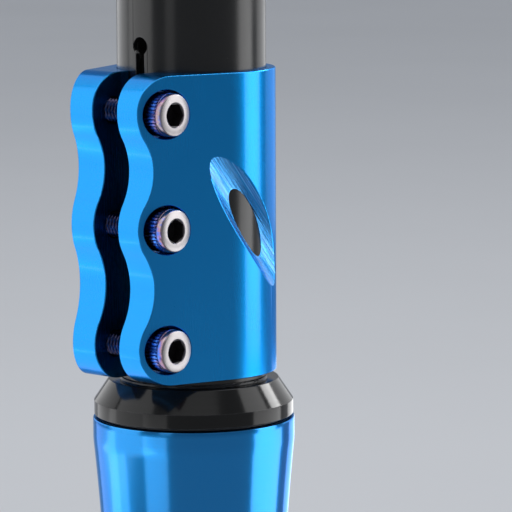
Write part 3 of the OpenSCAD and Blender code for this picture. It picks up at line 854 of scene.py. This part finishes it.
def knurl(board, given, height, turns):
    """Straight grooves, a number of them round the axis."""
    folded = board.maths("PINGPONG", board.maths("MULTIPLY", turns, given["Grooves"]), 0.5)
    return board.maths("MULTIPLY", folded, 2.0)


def thread(board, given, height, turns):
    """One groove that climbs by a pitch a turn, with flat roots and crests."""
    climb = board.maths("SUBTRACT", board.maths("DIVIDE", height, given["Pitch"]), turns)
    return board.spread(board.maths("PINGPONG", climb, 0.5), THREAD_ROOT, THREAD_CREST)


knurl_tree = groove_tree("knurl_the_head", {"Grooves": 36, "Depth": 0.0003, "Wall Radius": 0.004, "Low": 0,
                                            "High": 0.004, "Fade": 0.0003}, knurl)
thread_tree = groove_tree("cut_the_thread", {"Pitch": 0.001, "Depth": 0.0006, "Wall Radius": 0.002, "Low": 0,
                                             "High": 0.02, "Fade": 0.001}, thread)


def run_tree(piece, tree, sizes):
    """Runs a tree on a piece with its named sizes, and leaves plain mesh."""
    step = piece.modifiers.new(tree.name, "NODES")
    step.node_group = tree
    for socket in tree.interface.items_tree:
        if socket.item_type == "SOCKET" and socket.in_out == "INPUT" and socket.name in sizes:
            step[socket.identifier] = sizes[socket.name]
    bake_modifiers(piece)


print("trees:", knurl_tree.name, thread_tree.name)

# %% [markdown]
# The blanks are turned with close rows so that the grooves have points to move. The head and the shank
# are then joined, and a hexagonal broach with a drilled bottom cuts the socket, whose deep faces get a
# near-black painted shade. Each clamp screw was tightened by hand, so its socket has a turn of its own.

# %% A cap screw
HEAD_H = 6.0
HEAD_STEPS = 144
HEAD_FOOT = [(0.35, 0), (0.05, 0.30)]  # in from the side, up from the seat
KNURL_FOOT = 0.5
KNURL_ROWS = 8
KNURL_SHARE = 0.72
KNURL_DEPTH = 0.26
KNURL_FADE = 0.35
KNURL_OVERLAP = 0.05
HEAD_NECK = [(0.10, 0.12), (0.08, 0.25)]  # in from the side, up from the knurl
HEAD_CROWN = [(0.08, 0.45), (0.13, 0.28), (0.28, 0.08), (0.42, 0)]  # in from the side, down from the top
SHANK_R = 2.97
SHANK_STEPS = 48
SHANK_IN_HEAD = 1.0
SHANK_POINT = 0.6
THREAD_PITCH = 1.0
THREAD_DEPTH = 0.56
THREAD_START = 0.5
SHANK_NECK = 0.15
ROWS_PER_PITCH = 10
SOCKET_FLATS = 5.0
SOCKET_DEPTH = 3.6
SOCKET_MOUTH = [(-0.05, -0.16), (0.2, 0.1)]  # out from the corners, up from the top
DRILL_GAP = 0.05
DRILL_POINT = 0.6
BROACH_POINT = 0.5
MOUTH_START = 0.3
SOCKET_RIM = 0.18
NEAR = 0.1
DRILL_AROUND = 48
SCREW_CORNER = math.radians(38)


def cap_screw(name, length, finish):
    """A cap screw along Z: its seat is at zero, its head above and its thread below."""
    knurl_top = HEAD_H * KNURL_SHARE
    rows = [(0, 0)] + [(head_r - inset, z) for inset, z in HEAD_FOOT]
    rows += [(head_r, KNURL_FOOT + (knurl_top - KNURL_FOOT) * k / KNURL_ROWS) for k in range(KNURL_ROWS + 1)]
    rows += [(head_r - inset, knurl_top + z) for inset, z in HEAD_NECK]
    rows += [(head_r - inset, HEAD_H - z) for inset, z in HEAD_CROWN] + [(0, HEAD_H)]
    head = lathe(name, rows, HEAD_STEPS)
    run_tree(head, knurl_tree, {"Depth": KNURL_DEPTH * MM, "Wall Radius": (head_r - WALL_MARGIN) * MM,
                                "Low": KNURL_FOOT / 2 * MM, "High": (knurl_top + KNURL_OVERLAP) * MM,
                                "Fade": KNURL_FADE * MM, "Finish": finish})
    threaded = length - 2 * THREAD_START
    count = int(threaded / THREAD_PITCH * ROWS_PER_PITCH)
    rows = [(0, SHANK_IN_HEAD), (SHANK_R - SHANK_POINT, SHANK_IN_HEAD),
            (SHANK_R - SHANK_NECK, NEAR - THREAD_START)]
    rows += [(SHANK_R, -THREAD_START - threaded * k / count) for k in range(count + 1)]
    rows += [(SHANK_R - SHANK_POINT, -length), (0, -length)]
    shank = lathe(name + "_shank", rows, SHANK_STEPS)
    run_tree(shank, thread_tree, {"Depth": THREAD_DEPTH * MM, "Wall Radius": (SHANK_R - NEAR) * MM,
                                  "Low": (THREAD_START - NEAR - length) * MM,
                                  "High": -(THREAD_START + NEAR) * MM, "Finish": finish})
    cut(head, shank, "UNION")
    corner = SOCKET_FLATS / 2 / math.cos(math.pi / 6)
    drill_r = SOCKET_FLATS / 2 - DRILL_GAP
    bottom = HEAD_H - SOCKET_DEPTH
    mouth = [(corner + out, HEAD_H + up) for out, up in SOCKET_MOUTH]
    cut(head, prism("broach", arc((0, 0), corner, 0, 300, 5), bottom + BROACH_POINT, HEAD_H + PAST))
    cut(head, lathe("drill", [(0, bottom), (drill_r, bottom + DRILL_POINT), (drill_r, HEAD_H - MOUTH_START),
                              *mouth, (0, mouth[-1][1])], DRILL_AROUND))
    # Faces deep inside the socket get the second finish, a painted shade for the shadow in the recess.
    for face in head.data.polygons:
        reach = math.hypot(face.center.x, face.center.y) / MM
        deep = bottom - NEAR < face.center.z / MM < HEAD_H - SOCKET_RIM
        face.material_index = int(deep and reach < corner)
    smooth_faces(head, SCREW_CORNER)
    return head


SOCKET_TURN = {"lower": 34, "middle": 0, "upper": 27}
for name, z in zip(SCREW_NAMES, screw_z):
    screw = cap_screw(name + "_cap_screw", screw_high.x - screw_low.x - HEAD_H, oil_slick)
    turn = Matrix.Rotation(math.radians(SOCKET_TURN[name]), 4, "Z")
    screw.data.transform(at(screw_high.x - HEAD_H, screw_y, z) @ along_x @ turn)
    hand_over(screw, name + "_bolt_body", "oil_slick", [oil_slick, socket_shade_finish], name + "_bolt")

# %% [markdown]
# ## The handlebar tube
# The tube is drawn steel with a sawn slit that ends in a drilled hole, so that the collar can squeeze
# it without tearing it. A lathe makes the tube, a prism saws it and a rod drills it. The sawn edges
# keep a small break where the paint is thin and the metal glints.

# %% Handlebar tube
BAR_WALL = 1.5
SLIT_HALF = 1.25
STOP_HOLE_R = 2.1
STOP_HOLE_RISE = 5.8
SAW_END = 5
BAR_AROUND = 200
BAR_BREAK = 0.2
bar = lathe("oversize_handlebar_tube",
            [(bar_r - BAR_WALL, bar_low.z), (bar_r, bar_low.z), (bar_r, bar_high.z),
             (bar_r - BAR_WALL, bar_high.z)], BAR_AROUND)
hole_z = collar_high.z + STOP_HOLE_RISE
from_front = Matrix.Rotation(math.radians(90), 4, "X")
saw_start = bar_r + PAST
cut(bar, prism("saw", [(-SLIT_HALF, -saw_start), (SLIT_HALF, -saw_start), (SLIT_HALF, -SAW_END),
                       (-SLIT_HALF, -SAW_END)], bar_low.z - PAST, hole_z))
cut(bar, rod("stop_drill", STOP_HOLE_R, SAW_END, saw_start, at(0, 0, hole_z) @ from_front,
             HOLE_AROUND))
break_edges(bar, BAR_BREAK, 2)
smooth_faces(bar)
hand_over(bar, "handlebar", "satin_black", [bar_black], "handlebar_tube")

# %% [markdown]
# ## Turned parts
# The cover, the steerer and the top cap are all turned, so each is one outline with small fillets, spun
# round the steering axis. They could be cylinders with bevels, but the fillets are real arcs in the
# outline, because a bright line along a rounded corner is what makes polished metal look solid. Each
# corner of an outline is a radius, a height and a fillet.

# %% Headset cover
COVER_BAND = 3.4
COVER_TOP_R = 20.05
LIP = 0.55
STEERER_R = 14.3
RUN_GAP = 0.05
RECESS_R = 18.0
RECESS_DEPTH = 1.1
cover_r = cover_high.x
lip_foot = cover_high.z - LIP
recess_top = cover_low.z + RECESS_DEPTH
cover = lathe("headset_cover_turned", rounded(
    [(STEERER_R + RUN_GAP, recess_top, 0), (RECESS_R, recess_top, 0), (RECESS_R, cover_low.z, 0.1),
     (cover_r, cover_low.z, 0.25), (cover_r, cover_low.z + COVER_BAND, 0.18),
     (COVER_TOP_R, lip_foot, 0.35), (bar_r, lip_foot, 0.15), (bar_r, cover_high.z, 0.15),
     (STEERER_R + RUN_GAP, cover_high.z, 0.15)]), FINE_AROUND)
smooth_faces(cover)
hand_over(cover, "column", "anodised_black", [cover_black], "headset_cover")

# %% [markdown]
# The head tube swells to hold the bearings. Its wall follows a rule, a power curve from the straight
# band down to the waist, so the lathe only makes a straight tube with close rows, and Geometry Nodes
# pull its outer wall in by that rule. Changing one number changes the whole flare.

# %% Head tube
BAND = 5.3
FLARE = 42.0
FLARE_POWER = 1.6
HEAD_WAIST_R = 21.2
HEAD_BORE_R = 18.0
HEAD_SEAT_R = 20.5
SEAT_DEPTH = 7.8
SEAT_BEVEL = 1.6
LIP_BREAK = 0.4
LIP_SHOULDER = 0.12
WALL_ROWS = 96
TUBE_CORNER = math.radians(35)


def flare_tree(sizes):
    """Pulls the wall of a straight tube in, from a band at each end down to a waist."""
    board, given, result, axes = wall_tree("flare_the_tube", sizes)
    from_middle = board.maths("ABSOLUTE", board.maths("SUBTRACT", axes[2], given["Middle"]))
    from_end = board.maths("SUBTRACT", given["Half Length"], from_middle)
    down = board.spread(board.maths("DIVIDE", board.maths("SUBTRACT", from_end, given["Band"]),
                                    given["Flare"]), 0.0, 1.0)
    left = board.maths("POWER", board.maths("SUBTRACT", 1.0, down), given["Power"])
    swell = board.maths("SUBTRACT", given["End Radius"], given["Waist Radius"])
    pull = board.maths("MULTIPLY", swell, board.maths("SUBTRACT", left, 1.0))
    return move_wall(board, given, result, axes, pull)


tube_r = tube_high.x
low, high = tube_low.z, tube_high.z
wall_length = high - low - 2 * LIP_BREAK
seat = [(HEAD_SEAT_R, 0), (HEAD_SEAT_R, SEAT_DEPTH - SEAT_BEVEL), (HEAD_SEAT_R - SEAT_BEVEL, SEAT_DEPTH),
        (HEAD_BORE_R, SEAT_DEPTH)]
lip = [(tube_r - LIP_BREAK, 0), (tube_r - LIP_SHOULDER, LIP_SHOULDER)]
outline = ([(r, low + z) for r, z in reversed(seat)] + [(r, low + z) for r, z in lip]
           + [(tube_r, high - LIP_BREAK - wall_length * k / WALL_ROWS) for k in range(WALL_ROWS, -1, -1)]
           + [(r, high - z) for r, z in reversed(lip)] + [(r, high - z) for r, z in seat])
head_tube = lathe("flared_head_tube", outline, FINE_AROUND)
tube_sizes = {"Middle": (low + high) / 2 * MM, "Half Length": (high - low) / 2 * MM, "Band": BAND * MM,
              "Flare": FLARE * MM, "Power": FLARE_POWER, "End Radius": tube_r * MM,
              "Waist Radius": HEAD_WAIST_R * MM, "Wall Radius": (HEAD_SEAT_R + WALL_MARGIN) * MM}
run_tree(head_tube, flare_tree(tube_sizes), {**tube_sizes, "Finish": tube_blue})
smooth_faces(head_tube, TUBE_CORNER)
hand_over(head_tube, "head_tube", "anodised_blue", [tube_blue], "head_tube")

# %% [markdown]
# ## Steerer, top cap and preload screw
# The steerer stands on the crown boss, which the fork would carry. Looking down into the handlebar
# tube, the cap and its screw can be seen, so they are finished as well as the outside.

# %% Steerer, top cap and preload screw
STEERER_BORE_R = 12.4
BOSS_H = 10.0
RACE_SEAT_R = 15.0
RACE_SEAT_H = 5.0
RACE_SEAT_TAPER = 0.8
CAP_HOLE_R = 3.3
CAP_FLANGE_H = 6.0
CAP_SEAT_RISE = 2.4
CAP_EDGE = 0.6
CAP_GAP = 0.3
boss_r = steerer_high.x
steerer = lathe("fork_steerer_turned", rounded(
    [(STEERER_BORE_R, 0, 0.3), (boss_r, 0, 0.4), (boss_r, BOSS_H, 0.3), (RACE_SEAT_R, BOSS_H, 0),
     (RACE_SEAT_R, BOSS_H + RACE_SEAT_H, 0), (STEERER_R, BOSS_H + RACE_SEAT_H + RACE_SEAT_TAPER, 0),
     (STEERER_R, steerer_high.z, 0.4), (STEERER_BORE_R, steerer_high.z, 0.3)]))
smooth_faces(steerer)
hand_over(steerer, "column", "dark_steel", [oiled_steel], "fork_steerer")

spigot_r = STEERER_BORE_R - CAP_GAP
spigot_top = cap_high.z - CAP_FLANGE_H
seat_z = spigot_top + CAP_SEAT_RISE
cap_r = cap_high.x
cap = lathe("top_cap_turned", rounded(
    [(CAP_HOLE_R, cap_low.z, 0.2), (spigot_r, cap_low.z, 0.4), (spigot_r, spigot_top, 0),
     (cap_r, spigot_top, 0.2), (cap_r, cap_high.z, CAP_EDGE), (head_r + CAP_GAP, cap_high.z, 0.25),
     (head_r + CAP_GAP, seat_z, 0), (CAP_HOLE_R, seat_z, 0.2)]))
smooth_faces(cap)
hand_over(cap, "preload_cap", "anodised_black", [cover_black], "top_cap")

preload = cap_screw("preload_cap_screw", preload_high.z - preload_low.z - HEAD_H, lapped_steel)
preload.data.transform(at(0, 0, preload_high.z - HEAD_H))
hand_over(preload, "preload_screw", "bearing_steel", [lapped_steel, socket_shade_finish], "preload_bolt")

# %% [markdown]
# ## Pieces that keep the model's shape
# The bearings, seals, washers, shim, star nut, crown race and compression ring are simple shapes, mostly
# out of sight. They could be drawn again too, but their shapes in the model are already right, so they
# only get their finishes, by the slot that the model gives each of them.

# %% Finishes for the pieces kept from the model
BY_SLOT = {"anodised_blue": collar_blue, "satin_black": bar_black, "anodised_black": cover_black,
           "oil_slick": oil_slick, "dark_steel": oiled_steel, "bearing_steel": lapped_steel,
           "plain_aluminium": bare_aluminium, "seal_rubber": seal_rubber, "cage_brass": cage_brass}
slots = {part["node"]: part["material_slot"] for part in frame["record"]["subparts"]}
kept = 0
for node, piece in frame["nodes"].items():
    if piece.hide_render:
        continue
    piece.data.materials.clear()
    piece.data.materials.append(BY_SLOT[slots[node]])
    kept += 1
print(kept, "pieces keep the model's shape")
